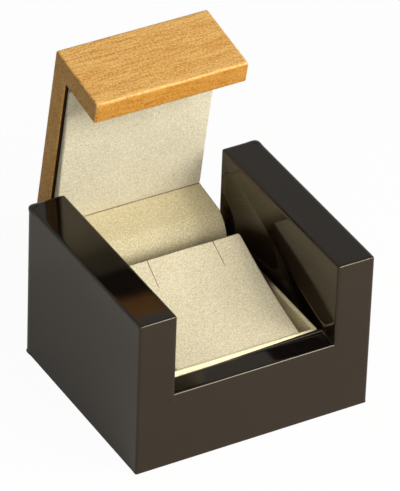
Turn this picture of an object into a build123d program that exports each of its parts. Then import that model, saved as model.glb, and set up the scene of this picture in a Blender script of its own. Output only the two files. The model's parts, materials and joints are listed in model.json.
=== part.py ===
"""Earring box: a maple lid that swings between two lacquered cheeks, over a lined tray and ramp pad.

Millimetres. The origin is the centre of the underside, X to the right, the front faces -Y, Z up.
The lid is drawn standing open, as far as its hinges let it go.
"""
import os
from math import cos, hypot, radians, sin, tan

from build123d import *

os.makedirs("parts", exist_ok=True)

# Whole box
box_width = 73.0
box_depth = 64.6
box_height = 50.0

# Lacquered base
cheek_thickness = 11.5
ledge_height = 24.0
rail_thickness = 7.0
bottom_thickness = 4.0
edge_radius = 0.8
back_corner_radius = 2.0
felt_thickness = 0.5
felt_inset = 2.0
felt_corner_radius = 1.5
dowel_radius = 2.0
dowel_length = 14.0
dowel_inset = 6.0
glue_gap = 0.05
dowel_end_gap = 0.3

# Maple lid
lid_side_gap = 1.3
lid_board = 7.0
lid_leg_clearance = 0.3
lid_front_clearance = 1.7
lid_corner_radius = 1.0
lid_edge_radius = 0.7
open_angle = 80.0

# Hinges
pivot_inset = 2.9
barrel_rise = 1.1
hinge_length = 14.0
hinge_inset = 5.7
barrel_radius = 1.5
pin_radius = 0.75
pin_clearance = 0.05
pin_overhang = 0.3
leaf_thickness = 0.8
leaf_inset = 0.3
lid_knuckle_length = 4.6
knuckle_gap = 0.3
leaf_web = 2.4
notch_clearance = 0.5
barrel_clearance = 0.2
screw_spacing = 9.0
screw_inset = 1.9
screw_head_radius = 1.4
screw_radius = 0.8
screw_length = 6.0
screw_point = 1.2
screw_slot_width = 0.3
screw_slot_depth = 0.25

# Leatherette and card
leatherette = 0.25
tray_card_thickness = 0.9
tray_side_gap = 0.8
tray_front_gap = 0.2
tray_back_gap = 2.0
tray_rim_rise = 1.0
hinge_strip = 0.5
strip_tuck = 15.0

# Ramp pad
pad_card_thickness = 1.2
pad_wadding_thickness = 1.0
pad_leatherette = 0.4
pad_side_gap = 3.7
pad_front_gap = 0.2
pad_depth = 35.2
pad_foot_depth = 20.0
pad_rim_drop = 0.2
pad_rise = 11.1
pad_nose = 2.2
pad_nose_radius = 0.9
pad_undercut_angle = 43.0
slit_inset = 8.2
slit_length = 9.5
slit_width = 0.6
slit_drop = 4.0

# Lid linings
lining_edge_gap = 0.9
top_lining_card = 1.2
top_lining_wadding = 0.9
lining_leatherette = 0.4
front_lining_card = 0.8
front_lining_end_gap = 1.8

# Derived sizes
half_channel = box_width / 2 - cheek_thickness
front_face = -box_depth / 2
back_face = box_depth / 2
rail_inner = back_face - rail_thickness
rail_height = ledge_height - felt_thickness
rail_centre = back_face - rail_thickness / 2
pivot_y = back_face - pivot_inset
pivot_height = ledge_height + leaf_thickness + barrel_rise + barrel_radius
half_lid = half_channel - lid_side_gap
lid_rear_end = pivot_height + lid_leg_clearance
lid_front_end = ledge_height + lid_front_clearance
half_lining = half_lid - lining_edge_gap


def save(piece, name):
    """Label one finished piece and write it to its own file."""
    piece.part.label = name
    export_step(piece.part, f"parts/{name}.step")


def corner(sketch, x_side, y_side):
    """The corner of a sketch that lies furthest towards the two given sides."""
    return sketch.vertices().sort_by(lambda vertex: x_side * vertex.X + y_side * vertex.Y)[-1]


# Left and right cheek
# A foot with a square inner edge meets the rails, and the part above the ledge is eased all round.
cheek_levels = (
    (felt_thickness, ledge_height, False),
    (ledge_height, box_height, True),
)
dowel_heights = (felt_thickness + dowel_inset, ledge_height - dowel_inset)
dowel_points = [(y, z) for y in (-rail_centre, rail_centre) for z in dowel_heights]
for side, cheek_name in ((-1, "left_cheek"), (1, "right_cheek")):
    with BuildPart() as cheek:
        for bottom, top, inner_eased in cheek_levels:
            with BuildSketch(Plane.XY.offset(bottom)) as plan:
                with Locations((side * (half_channel + cheek_thickness / 2), 0)):
                    Rectangle(cheek_thickness, box_depth)
                fillet(corner(plan, side, 1), back_corner_radius)
                fillet(corner(plan, side, -1), edge_radius)
                if inner_eased:
                    fillet(corner(plan, -side, 1), edge_radius)
                    fillet(corner(plan, -side, -1), edge_radius)
            extrude(amount=top - bottom)
        fillet(cheek.faces().sort_by(Axis.Z)[-1].edges(), edge_radius)
        with BuildSketch(Plane.YZ.offset(side * half_channel)):
            with Locations(*dowel_points):
                Circle(dowel_radius + glue_gap)
        extrude(amount=side * (dowel_length / 2 + dowel_end_gap), mode=Mode.SUBTRACT)
    save(cheek, cheek_name)

# Front rail
# Its top is the ledge in front of the tray, with one eased edge towards the viewer.
with BuildPart() as front_rail:
    with BuildSketch(Plane.XY.offset(felt_thickness)):
        with Locations((0, -rail_centre)):
            Rectangle(2 * half_channel, rail_thickness)
    extrude(amount=rail_height)
    fillet(front_rail.faces().sort_by(Axis.Y)[0].edges().sort_by(Axis.Z)[-1], edge_radius)
    for side in (-1, 1):
        with BuildSketch(Plane.YZ.offset(side * half_channel)):
            with Locations(*[(-rail_centre, z) for z in dowel_heights]):
                Circle(dowel_radius + glue_gap)
        extrude(amount=-side * (dowel_length / 2 + dowel_end_gap), mode=Mode.SUBTRACT)
save(front_rail, "front_rail")

# Rear rail
# The base leaves of the hinges are screwed down on its top.
hinge_centre = half_lid - hinge_inset - hinge_length / 2
hinge_centres = (-hinge_centre, hinge_centre)
screw_y = rail_inner + screw_inset
screw_points = [(x + end * screw_spacing / 2, screw_y) for x in hinge_centres for end in (-1, 1)]
with BuildPart() as rear_rail:
    with BuildSketch(Plane.XY.offset(felt_thickness)):
        with Locations((0, rail_centre)):
            Rectangle(2 * half_channel, rail_thickness)
    extrude(amount=rail_height)
    fillet(rear_rail.faces().sort_by(Axis.Y)[-1].edges().sort_by(Axis.Z)[-1], edge_radius)
    for side in (-1, 1):
        with BuildSketch(Plane.YZ.offset(side * half_channel)):
            with Locations(*[(rail_centre, z) for z in dowel_heights]):
                Circle(dowel_radius + glue_gap)
        extrude(amount=-side * (dowel_length / 2 + dowel_end_gap), mode=Mode.SUBTRACT)
    with Locations(*[(x, y, ledge_height) for x, y in screw_points]):
        Hole(screw_radius + glue_gap, screw_length - leaf_thickness + dowel_end_gap)
save(rear_rail, "rear_rail")

# Wooden dowels, half in a rail and half in a cheek
with BuildPart() as rail_dowels:
    for side in (-1, 1):
        with BuildSketch(Plane.YZ.offset(side * half_channel)):
            with Locations(*dowel_points):
                Circle(dowel_radius)
        extrude(amount=dowel_length / 2, both=True)
save(rail_dowels, "rail_dowels")

# Bottom board between the rails and the cheeks
with BuildPart() as bottom_board:
    with BuildSketch(Plane.XY.offset(felt_thickness)):
        Rectangle(2 * half_channel, 2 * rail_inner)
    extrude(amount=bottom_thickness)
save(bottom_board, "bottom_board")

# Felt that the box stands on
with BuildPart() as base_felt:
    with BuildSketch():
        RectangleRounded(box_width - 2 * felt_inset, box_depth - 2 * felt_inset, felt_corner_radius)
    extrude(amount=felt_thickness)
save(base_felt, "base_felt")

# Card tray
# It stands on the bottom board, and its leatherette rim rises a little above the ledge.
tray_wall = tray_card_thickness + 2 * leatherette
tray_foot = felt_thickness + bottom_thickness
tray_floor = tray_foot + tray_card_thickness + leatherette
tray_rim = ledge_height + tray_rim_rise
tray_front = -rail_inner + tray_front_gap
tray_back = rail_inner - tray_back_gap
tray_width = 2 * (half_channel - tray_side_gap)


def tray_block(inset, bottom, top, mode):
    """A block with the tray's plan, drawn inset from its outer faces."""
    with BuildSketch(Plane.XY.offset(bottom)) as plan:
        with Locations((0, (tray_back + tray_front) / 2)):
            Rectangle(tray_width - 2 * inset, tray_back - tray_front - 2 * inset)
    extrude(plan.sketch, amount=top - bottom, mode=mode)


with BuildPart() as tray_card:
    tray_block(leatherette, tray_foot, tray_rim - leatherette, Mode.ADD)
    tray_block(tray_wall - leatherette, tray_floor - leatherette, tray_rim, Mode.SUBTRACT)
save(tray_card, "tray_card")

# Leatherette over the tray's outside, rim and inside
with BuildPart() as tray_cover:
    tray_block(0, tray_foot, tray_rim, Mode.ADD)
    tray_block(tray_wall, tray_floor, tray_rim, Mode.SUBTRACT)
    add(tray_card.part, mode=Mode.SUBTRACT)
save(tray_cover, "tray_cover")

# Ramp pad
# A foam wedge on a base card, with wadding on its slope and leatherette wrapped round it.
# Its back is undercut, so that earring posts and wires reach down behind the thin upper edge.
pad_front = tray_front + tray_wall + pad_front_gap
pad_back = pad_front + pad_depth
pad_heel = pad_front + pad_foot_depth
pad_front_height = tray_rim - pad_rim_drop
pad_back_height = pad_front_height + pad_rise
pad_nose_foot = pad_back_height - pad_nose
pad_heel_height = pad_nose_foot - (pad_back - pad_heel) * tan(radians(pad_undercut_angle))
pad_slope = pad_rise / pad_depth
half_pad = tray_width / 2 - tray_wall - pad_side_gap
half_pad_core = half_pad - pad_leatherette
pad_wadding_foot = (pad_leatherette + pad_wadding_thickness) * hypot(1, pad_slope)


def pad_side_view(inset):
    """The pad's side view, drawn inset from its outer skin, with the underside left open."""
    with BuildSketch(Plane.YZ) as side_view:
        Polygon((pad_front, tray_floor), (pad_front, pad_front_height), (pad_back, pad_back_height),
                (pad_back, pad_nose_foot), (pad_heel, pad_heel_height), (pad_heel, tray_floor),
                align=None)
        fillet(side_view.vertices().sort_by(Axis.Y)[-2:], pad_nose_radius)
        if inset:
            offset(amount=-inset, kind=Kind.INTERSECTION)
            Polygon((pad_front + inset, tray_floor), (pad_heel - inset, tray_floor),
                    (pad_heel - inset, tray_floor + 2 * inset), (pad_front + inset, tray_floor + 2 * inset),
                    align=None)
    return side_view.sketch


def slope_band(drop, depth):
    """The band of the pad's side view from one drop below its slope, measured upright, to a deeper one."""
    with BuildSketch(Plane.YZ) as band:
        Polygon((pad_front, pad_front_height - drop), (pad_back, pad_back_height - drop),
                (pad_back, pad_back_height - depth), (pad_front, pad_front_height - depth), align=None)
    return band.sketch


def cut_slits():
    """Open the two slits that run forward from the pad's upper edge."""
    slit_run = slit_length / hypot(1, pad_slope)
    with BuildSketch(Plane.XY.offset(pad_back_height - slit_drop)) as slits:
        for side in (-1, 1):
            with Locations((side * (half_pad - slit_inset), pad_back)):
                Rectangle(slit_width, 2 * slit_run)
    extrude(slits.sketch, amount=2 * slit_drop, mode=Mode.SUBTRACT)


with BuildPart() as pad_card:
    with BuildSketch(Plane.XY.offset(tray_floor)):
        with Locations((0, (pad_front + pad_heel) / 2)):
            Rectangle(2 * half_pad_core, pad_foot_depth - 2 * pad_leatherette)
    extrude(amount=pad_card_thickness)
save(pad_card, "pad_card")

with BuildPart() as pad_wadding:
    extrude(pad_side_view(pad_leatherette), amount=half_pad_core, both=True)
    extrude(slope_band(0, pad_wadding_foot), amount=half_pad_core, both=True, mode=Mode.INTERSECT)
    cut_slits()
save(pad_wadding, "pad_wadding")

with BuildPart() as pad_foam:
    extrude(pad_side_view(pad_leatherette), amount=half_pad_core, both=True)
    extrude(slope_band(0, pad_wadding_foot), amount=half_pad_core, both=True, mode=Mode.SUBTRACT)
    add(pad_card.part, mode=Mode.SUBTRACT)
    cut_slits()
save(pad_foam, "pad_foam")

with BuildPart() as pad_cover:
    extrude(pad_side_view(0), amount=half_pad, both=True)
    extrude(pad_side_view(pad_leatherette), amount=half_pad_core, both=True, mode=Mode.SUBTRACT)
    cut_slits()
save(pad_cover, "pad_cover")

# The lid's own plane
# Its pieces are drawn in side view where they lie with the lid shut, on a plane that has swung open.
lid_section = Plane(
    origin=(0, pivot_y, pivot_height),
    x_dir=(0, cos(radians(open_angle)), -sin(radians(open_angle))),
    z_dir=(1, 0, 0),
)
shut_down = Vector(0, 0, 0) - lid_section.y_dir
lid_inner_top = box_height - lid_board
lid_inner_front = front_face + lid_board
lid_inner_back = back_face - lid_board


def shut(y, z):
    """A point of the shut lid's side view, on the lid's own plane."""
    return (y - pivot_y, z - pivot_height)


def shut_rectangle(y_start, y_end, z_start, z_end, mode=Mode.ADD):
    """A rectangle of the shut lid's side view."""
    Polygon(shut(y_start, z_start), shut(y_end, z_start), shut(y_end, z_end), shut(y_start, z_end),
            align=None, mode=mode)


def shut_frame(x, y, z):
    """A plane at a point of the shut lid, facing down when the lid is shut."""
    return Plane(
        origin=lid_section.from_local_coords(Vector(y - pivot_y, z - pivot_height, x)),
        x_dir=(1, 0, 0),
        z_dir=shut_down,
    )


# Maple boards
# The three boards are mitred where they meet, so that each is cut from one rounded U.
# The front leg reaches down to the ledge, and the rear leg ends above the hinges.
lid_boards = {
    "lid_front_board": [
        (front_face, lid_front_end), (front_face, box_height),
        (lid_inner_front, lid_inner_top), (lid_inner_front, lid_front_end),
    ],
    "lid_top_board": [
        (front_face, box_height), (back_face, box_height),
        (lid_inner_back, lid_inner_top), (lid_inner_front, lid_inner_top),
    ],
    "lid_rear_board": [
        (back_face, lid_rear_end), (back_face, box_height),
        (lid_inner_back, lid_inner_top), (lid_inner_back, lid_rear_end),
    ],
}
with BuildPart() as lid_blank:
    with BuildSketch(lid_section) as side_view:
        shut_rectangle(front_face, back_face, lid_front_end, box_height)
        shut_rectangle(lid_inner_front, lid_inner_back, lid_front_end, lid_inner_top, Mode.SUBTRACT)
        shut_rectangle(lid_inner_back, back_face, lid_front_end, lid_rear_end, Mode.SUBTRACT)
        levels = side_view.vertices().group_by(Axis.Y)
        fillet(levels[0] + levels[1] + levels[-1], lid_corner_radius)
    extrude(amount=half_lid, both=True)
    fillet(lid_blank.faces().filter_by(Axis.X).edges(), lid_edge_radius)

notch_top = pivot_height + barrel_radius + barrel_clearance + leaf_thickness
leaf_seat = notch_top - leaf_thickness
lid_screws = [shut_frame(x, y, notch_top) for x, y in screw_points]
for board_name, outline in lid_boards.items():
    with BuildPart() as board:
        add(lid_blank.part)
        with BuildSketch(lid_section):
            Polygon(*[shut(y, z) for y, z in outline], align=None)
        extrude(amount=half_lid, both=True, mode=Mode.INTERSECT)
        if board_name == "lid_rear_board":
            for x in hinge_centres:
                with BuildSketch(lid_section.offset(x)):
                    shut_rectangle(lid_inner_back, back_face, lid_rear_end, notch_top)
                extrude(amount=hinge_length / 2 + notch_clearance, both=True, mode=Mode.SUBTRACT)
            with Locations(*lid_screws):
                Hole(screw_radius + glue_gap, screw_length - leaf_thickness + dowel_end_gap)
    save(board, board_name)

# Base leaves and lid leaves of the two hinges
# A base leaf carries the two outer knuckles, and a lid leaf the middle one between them.
outer_knuckle = hinge_length / 2 - lid_knuckle_length / 2 - knuckle_gap
outer_knuckle_centre = hinge_length / 2 - outer_knuckle / 2
leaf_front = rail_inner + leaf_inset
leaf_back = back_face - leaf_inset
leaf_top = ledge_height + leaf_thickness
hinge_names = ("left_hinge", "right_hinge")
for hinge_name, x in zip(hinge_names, hinge_centres):
    ends = [(x + end * screw_spacing / 2, screw_y) for end in (-1, 1)]
    with BuildPart() as base_leaf:
        with BuildSketch(Plane.YZ.offset(x)):
            Polygon((leaf_front, ledge_height), (leaf_back, ledge_height),
                    (leaf_back, leaf_top), (leaf_front, leaf_top), align=None)
        extrude(amount=hinge_length / 2, both=True)
        for end in (-1, 1):
            with BuildSketch(Plane.YZ.offset(x + end * outer_knuckle_centre)):
                with Locations((pivot_y, pivot_height)):
                    Circle(barrel_radius)
                    Rectangle(leaf_web, pivot_height - ledge_height, align=(Align.CENTER, Align.MAX))
            extrude(amount=outer_knuckle / 2, both=True)
        with BuildSketch(Plane.YZ.offset(x)):
            with Locations((pivot_y, pivot_height)):
                Circle(pin_radius)
        extrude(amount=hinge_length / 2, both=True, mode=Mode.SUBTRACT)
        with Locations(*[(end_x, end_y, leaf_top) for end_x, end_y in ends]):
            CounterSinkHole(screw_radius + glue_gap, screw_head_radius + glue_gap,
                            depth=leaf_thickness, counter_sink_angle=90)
    save(base_leaf, f"{hinge_name}_base_leaf")

    with BuildPart() as lid_leaf:
        with BuildSketch(lid_section.offset(x)):
            shut_rectangle(lid_inner_back + leaf_inset, leaf_back, leaf_seat, notch_top)
        extrude(amount=hinge_length / 2, both=True)
        with BuildSketch(lid_section.offset(x)):
            Circle(barrel_radius)
            Rectangle(leaf_web, notch_top - pivot_height, align=(Align.CENTER, Align.MIN))
        extrude(amount=lid_knuckle_length / 2, both=True)
        with BuildSketch(lid_section.offset(x)):
            Circle(pin_radius + pin_clearance)
        extrude(amount=hinge_length / 2, both=True, mode=Mode.SUBTRACT)
        with Locations(*[shut_frame(end_x, end_y, leaf_seat) for end_x, end_y in ends]):
            CounterSinkHole(screw_radius + glue_gap, screw_head_radius + glue_gap,
                            depth=leaf_thickness, counter_sink_angle=90)
    save(lid_leaf, f"{hinge_name}_lid_leaf")

    with BuildPart() as hinge_pin:
        with BuildSketch(Plane.YZ.offset(x)):
            with Locations((pivot_y, pivot_height)):
                Circle(pin_radius)
        extrude(amount=hinge_length / 2 + pin_overhang, both=True)
        chamfer(hinge_pin.edges().filter_by(GeomType.CIRCLE), pin_overhang / 2)
    save(hinge_pin, f"{hinge_name}_pin")

# Countersunk hinge screws
with BuildPart() as wood_screw:
    with BuildSketch(Plane.XZ):
        Polygon((0, 0), (screw_head_radius, 0), (screw_radius, screw_radius - screw_head_radius),
                (screw_radius, screw_point - screw_length), (0, -screw_length), align=None)
    revolve(axis=Axis.Z)
    Box(2 * screw_head_radius, screw_slot_width, 2 * screw_slot_depth, mode=Mode.SUBTRACT)

with BuildPart() as hinge_base_screws:
    with Locations(*[(x, y, leaf_top) for x, y in screw_points]):
        add(wood_screw.part)
save(hinge_base_screws, "hinge_base_screws")

with BuildPart() as hinge_lid_screws:
    with Locations(*[shut_frame(x, y, leaf_seat) for x, y in screw_points]):
        add(wood_screw.part)
save(hinge_lid_screws, "hinge_lid_screws")

# Leatherette strip over the hinges
# It lies behind the tray against the rear rail, and bends about the hinge pins to the lid.
strip_face = rail_inner - hinge_strip
strip_foot = ledge_height - strip_tuck
bend_outer = lid_section.from_local_coords(Vector(*shut(lid_inner_back - hinge_strip, pivot_height)))
bend_inner = lid_section.from_local_coords(Vector(*shut(lid_inner_back, pivot_height)))
with BuildPart() as hinge_cover:
    with BuildSketch(Plane.YZ):
        with BuildLine():
            Line((rail_inner, pivot_height), (rail_inner, strip_foot))
            Line((rail_inner, strip_foot), (strip_face, strip_foot))
            Line((strip_face, strip_foot), (strip_face, pivot_height))
            TangentArc((strip_face, pivot_height), (bend_outer.Y, bend_outer.Z), tangent=(0, 1))
            Line((bend_outer.Y, bend_outer.Z), (bend_inner.Y, bend_inner.Z))
            TangentArc((rail_inner, pivot_height), (bend_inner.Y, bend_inner.Z), tangent=(0, 1))
        make_face()
    extrude(amount=half_lining, both=True)
save(hinge_cover, "hinge_cover")

# Lining of the lid
# Leatherette runs up the rear board, and two covered panels sit under the top and behind the front.
with BuildPart() as rear_lining:
    with BuildSketch(lid_section):
        shut_rectangle(lid_inner_back - hinge_strip, lid_inner_back, pivot_height, lid_inner_top)
    extrude(amount=half_lining, both=True)
save(rear_lining, "rear_lining")

front_panel_face = lid_inner_front + front_lining_card + lining_leatherette
front_panel_end = lid_front_end + front_lining_end_gap
half_card = half_lining - lining_leatherette
with BuildPart() as lid_front_card:
    with BuildSketch(lid_section):
        shut_rectangle(lid_inner_front, lid_inner_front + front_lining_card,
                       front_panel_end + lining_leatherette, lid_inner_top)
    extrude(amount=half_card, both=True)
save(lid_front_card, "lid_front_card")

with BuildPart() as lid_front_cover:
    with BuildSketch(lid_section):
        shut_rectangle(lid_inner_front, front_panel_face, front_panel_end, lid_inner_top)
    extrude(amount=half_lining, both=True)
    add(lid_front_card.part, mode=Mode.SUBTRACT)
save(lid_front_cover, "lid_front_cover")

top_panel_back = lid_inner_back - hinge_strip
top_card_face = lid_inner_top - top_lining_card
top_wadding_face = top_card_face - top_lining_wadding
top_panel_face = top_wadding_face - lining_leatherette
with BuildPart() as lid_top_card:
    with BuildSketch(lid_section):
        shut_rectangle(front_panel_face + lining_leatherette, top_panel_back - lining_leatherette,
                       top_card_face, lid_inner_top)
    extrude(amount=half_card, both=True)
save(lid_top_card, "lid_top_card")

with BuildPart() as lid_top_wadding:
    with BuildSketch(lid_section):
        shut_rectangle(front_panel_face + lining_leatherette, top_panel_back - lining_leatherette,
                       top_wadding_face, top_card_face)
    extrude(amount=half_card, both=True)
save(lid_top_wadding, "lid_top_wadding")

with BuildPart() as lid_top_cover:
    with BuildSketch(lid_section):
        shut_rectangle(front_panel_face, top_panel_back, top_panel_face, lid_inner_top)
    extrude(amount=half_lining, both=True)
    add(lid_top_card.part, mode=Mode.SUBTRACT)
    add(lid_top_wadding.part, mode=Mode.SUBTRACT)
save(lid_top_cover, "lid_top_cover")
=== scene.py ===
"""The looks of an earring box: a maple lid, a dark lacquered base and cream leatherette inside.

Metres, in the frame of the CAD model: X to the right, the front faces -Y, Z up, the lid open.
"""
import json
import math

import bmesh
import bpy
from mathutils import Matrix, Vector, geometry, noise


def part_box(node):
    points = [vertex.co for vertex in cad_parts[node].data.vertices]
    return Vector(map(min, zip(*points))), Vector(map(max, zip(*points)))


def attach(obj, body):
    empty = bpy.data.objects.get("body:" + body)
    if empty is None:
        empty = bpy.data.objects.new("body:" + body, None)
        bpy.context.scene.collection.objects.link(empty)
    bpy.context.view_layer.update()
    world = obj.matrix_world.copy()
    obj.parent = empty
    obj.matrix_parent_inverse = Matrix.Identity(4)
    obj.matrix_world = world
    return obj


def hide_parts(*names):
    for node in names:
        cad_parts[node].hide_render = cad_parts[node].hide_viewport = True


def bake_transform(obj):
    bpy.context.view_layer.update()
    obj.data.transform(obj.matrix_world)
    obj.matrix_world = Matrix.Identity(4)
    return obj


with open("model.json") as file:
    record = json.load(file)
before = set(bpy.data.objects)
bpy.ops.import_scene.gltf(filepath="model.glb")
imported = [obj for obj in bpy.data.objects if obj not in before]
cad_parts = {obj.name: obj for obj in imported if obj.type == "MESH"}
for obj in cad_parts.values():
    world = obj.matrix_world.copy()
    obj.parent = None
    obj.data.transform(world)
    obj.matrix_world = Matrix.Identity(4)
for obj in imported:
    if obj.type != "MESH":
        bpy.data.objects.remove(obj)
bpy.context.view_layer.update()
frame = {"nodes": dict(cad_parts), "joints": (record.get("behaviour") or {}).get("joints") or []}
nodes = frame["nodes"]
MM = 0.001


# Camera
# The photograph was taken from the front left and above, from far off with a long lens. The camera is
# rolled a little, and aims at the middle of the open box.
camera_azimuth = math.radians(-30.533)
camera_elevation = math.radians(35.031)
camera_roll = math.radians(2.155)
camera_distance = 1406.5 * MM
camera_target = Vector((0.124, 0, 44.985)) * MM
film_width = 36
lens_length = 375.9
nearest_seen = 0.05
farthest_seen = 20


def add_object(name, data):
    """Make an object of its data and put it in the scene."""
    made = bpy.data.objects.new(name, data)
    bpy.context.scene.collection.objects.link(made)
    return made


def aimed_place(right, up, back, distance):
    """The place of a camera or lamp with those axes, that far back from the middle of the box."""
    axes = Matrix((right, up, back)).transposed().to_4x4()
    return Matrix.Translation(camera_target + distance * back) @ axes


camera_back = Vector((
    math.sin(camera_azimuth) * math.cos(camera_elevation),
    -math.cos(camera_azimuth) * math.cos(camera_elevation),
    math.sin(camera_elevation),
))
level_right = Vector((math.cos(camera_azimuth), math.sin(camera_azimuth), 0))
level_up = camera_back.cross(level_right)
camera_right = math.cos(camera_roll) * level_right + math.sin(camera_roll) * level_up
camera_up = camera_back.cross(camera_right)
camera_data = bpy.data.cameras.new("camera")
camera_data.sensor_width = film_width
camera_data.lens = lens_length
camera_data.clip_start = nearest_seen
camera_data.clip_end = farthest_seen
camera = add_object("camera", camera_data)
camera.matrix_world = aimed_place(camera_right, camera_up, camera_back, camera_distance)
bpy.context.scene.camera = camera


# Floor, backdrop and lamps
# A white painted table stands in a room that is pale low down and dim overhead, under a wide soft lamp
# and a narrow one at the front right and a weak fill from the left. The camera sees the table nearly
# white, with the box's shadow, and the dark lacquer mirrors it as less bright.
def add_node(material, kind, settings=(), inputs=()):
    """Add a node; an input is a value, or a socket that is linked to it."""
    made = material.node_tree.nodes.new(kind)
    for name, value in dict(settings).items():
        setattr(made, name, value)
    for name, value in dict(inputs).items():
        if isinstance(value, bpy.types.NodeSocket):
            material.node_tree.links.new(value, made.inputs[name])
        else:
            made.inputs[name].default_value = value
    return made


def linear(hex_colour):
    """A colour as sRGB hex, turned into linear RGBA."""
    values = [int(hex_colour[i:i + 2], 16) / 255 for i in (1, 3, 5)]
    return [v / 12.92 if v <= 0.04045 else ((v + 0.055) / 1.055) ** 2.4 for v in values] + [1.0]


def new_material(name):
    """A material with an empty node tree."""
    material = bpy.data.materials.new(name)
    material.use_nodes = True
    material.node_tree.nodes.clear()
    return material


def finish_material(material, shader):
    """Link the finished shader to the material's output."""
    output = add_node(material, "ShaderNodeOutputMaterial", (), {"Surface": shader.outputs[0]})
    output.is_active_output = True
    return material


def white_share(material, seen, mirrored):
    """How far a surface is plain white: one share where the camera sees it, one in mirror images."""
    rays = add_node(material, "ShaderNodeLightPath")
    indirect = add_node(material, "ShaderNodeMath", {"operation": "MAXIMUM"}, {
        0: rays.outputs["Is Glossy Ray"], 1: rays.outputs["Is Transmission Ray"]})
    in_mirrors = add_node(material, "ShaderNodeMath", {"operation": "MULTIPLY"}, {
        0: indirect.outputs[0], 1: mirrored})
    share = add_node(material, "ShaderNodeMath", {"operation": "MULTIPLY_ADD"}, {
        0: rays.outputs["Is Camera Ray"], 1: seen, 2: in_mirrors.outputs[0]})
    return share.outputs[0]


floor_half = 6.0
floor_seen_white = 0.96
floor_mirrored_white = 0.13
floor_material = new_material("white_painted_table")
floor_paint = add_node(floor_material, "ShaderNodeBsdfDiffuse", (), {"Color": linear("#e6e4dc")})
floor_glow = add_node(floor_material, "ShaderNodeEmission", (), {"Color": linear("#ffffff"), "Strength": 1.0})
floor_mix = add_node(floor_material, "ShaderNodeMixShader", (), {
    0: white_share(floor_material, floor_seen_white, floor_mirrored_white),
    1: floor_paint.outputs[0], 2: floor_glow.outputs[0]})
finish_material(floor_material, floor_mix)
floor_mesh = bpy.data.meshes.new("floor")
floor_mesh.from_pydata([(-floor_half, -floor_half, 0), (floor_half, -floor_half, 0),
                        (floor_half, floor_half, 0), (-floor_half, floor_half, 0)], [], [(0, 1, 2, 3)])
floor_mesh.materials.append(floor_material)
floor = add_object("floor", floor_mesh)

room_light = 0.09
pale_below = 0.34
dim_above = 0.54
room_overhead = 0.43
world = bpy.data.worlds.new("studio")
bpy.context.scene.world = world
world.use_nodes = True
world.node_tree.nodes.clear()
world_place = add_node(world, "ShaderNodeTexCoord")
world_axes = add_node(world, "ShaderNodeSeparateXYZ", (), {"Vector": world_place.outputs["Generated"]})
world_height = add_node(world, "ShaderNodeMapRange", {"interpolation_type": "SMOOTHSTEP"}, {
    "Value": world_axes.outputs["Z"], "From Min": pale_below, "From Max": dim_above,
    "To Min": 1.0, "To Max": room_overhead})
world_dim = add_node(world, "ShaderNodeBackground", (), {"Color": linear("#ffffff"), "Strength": room_light})
world_white = add_node(world, "ShaderNodeBackground", (), {"Color": linear("#ffffff"), "Strength": 1.0})
world_mix = add_node(world, "ShaderNodeMixShader", (), {
    0: white_share(world, 1.0, world_height.outputs["Result"]),
    1: world_dim.outputs[0], 2: world_white.outputs[0]})
add_node(world, "ShaderNodeOutputWorld", (), {"Surface": world_mix.outputs[0]})

# A lamp has its name, its direction from the box, its width and height, and its power in watts.
lamp_distance = 0.9
lamps = (
    ("wide_soft_lamp", (0.38, -0.75, 0.53), (1.0, 0.4), 11.1),
    ("narrow_edge_lamp", (0.41, -0.57, 0.71), (0.10, 0.22), 1.3),
    ("left_fill_lamp", (-0.50, -0.70, 0.50), (0.8, 0.6), 2.0),
)
for lamp_name, direction, size, power in lamps:
    towards = Vector(direction).normalized()
    upright = Vector((0, -towards.z, towards.y)).normalized()
    sideways = upright.cross(towards).normalized()
    upright = towards.cross(sideways)
    lamp_data = bpy.data.lights.new(lamp_name, "AREA")
    lamp_data.shape = "RECTANGLE"
    lamp_data.size, lamp_data.size_y = size
    lamp_data.energy = power
    lamp = add_object(lamp_name, lamp_data)
    lamp.matrix_world = aimed_place(sideways, upright, towards, lamp_distance)


# Lacquered base
# Two cheeks and two rails of fibreboard are sprayed and polished as one, so no joint shows. The lacquer
# gives a nearly black brown, with painted shade on the level tops, and clear reflections that bend at its
# soft edges.
lacquer = new_material("polyester_lacquer_dark_brown")
cloud_size = 14 * MM
peel_size = 2.6 * MM
peel_depth = 0.02 * MM
top_shade_from = 0.6
top_shade_fully = 0.95
lacquer_place = add_node(lacquer, "ShaderNodeTexCoord")
lacquer_cloud = add_node(lacquer, "ShaderNodeTexNoise", (), {
    "Vector": lacquer_place.outputs["Object"], "Scale": 1 / cloud_size, "Detail": 4.0, "Roughness": 0.6})
lacquer_colour = add_node(lacquer, "ShaderNodeMix", {"data_type": "RGBA"}, {
    0: lacquer_cloud.outputs["Fac"], "A": linear("#1a130d"), "B": linear("#221811")})
lacquer_axes = add_node(lacquer, "ShaderNodeSeparateXYZ", (), {"Vector": lacquer_place.outputs["Normal"]})
# Painted shade: faces that look upward are mixed towards a darker brown.
lacquer_top_shade_mask = add_node(lacquer, "ShaderNodeMapRange", {"interpolation_type": "SMOOTHSTEP"}, {
    "Value": lacquer_axes.outputs["Z"], "From Min": top_shade_from, "From Max": top_shade_fully})
lacquer_painted_top_shade = add_node(lacquer, "ShaderNodeMix", {"data_type": "RGBA"}, {
    0: lacquer_top_shade_mask.outputs["Result"], "A": lacquer_colour.outputs["Result"], "B": linear("#0c0807")})
lacquer_peel = add_node(lacquer, "ShaderNodeTexNoise", (), {
    "Vector": lacquer_place.outputs["Object"], "Scale": 1 / peel_size, "Detail": 1.0})
lacquer_relief = add_node(lacquer, "ShaderNodeBump", (), {
    "Height": lacquer_peel.outputs["Fac"], "Strength": 0.1, "Distance": peel_depth})
lacquer_shader = add_node(lacquer, "ShaderNodeBsdfPrincipled", (), {
    "Base Color": lacquer_painted_top_shade.outputs["Result"], "Roughness": 0.08, "IOR": 1.47,
    "Specular Tint": linear("#ffeed0"), "Normal": lacquer_relief.outputs[0]})
finish_material(lacquer, lacquer_shader)

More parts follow.
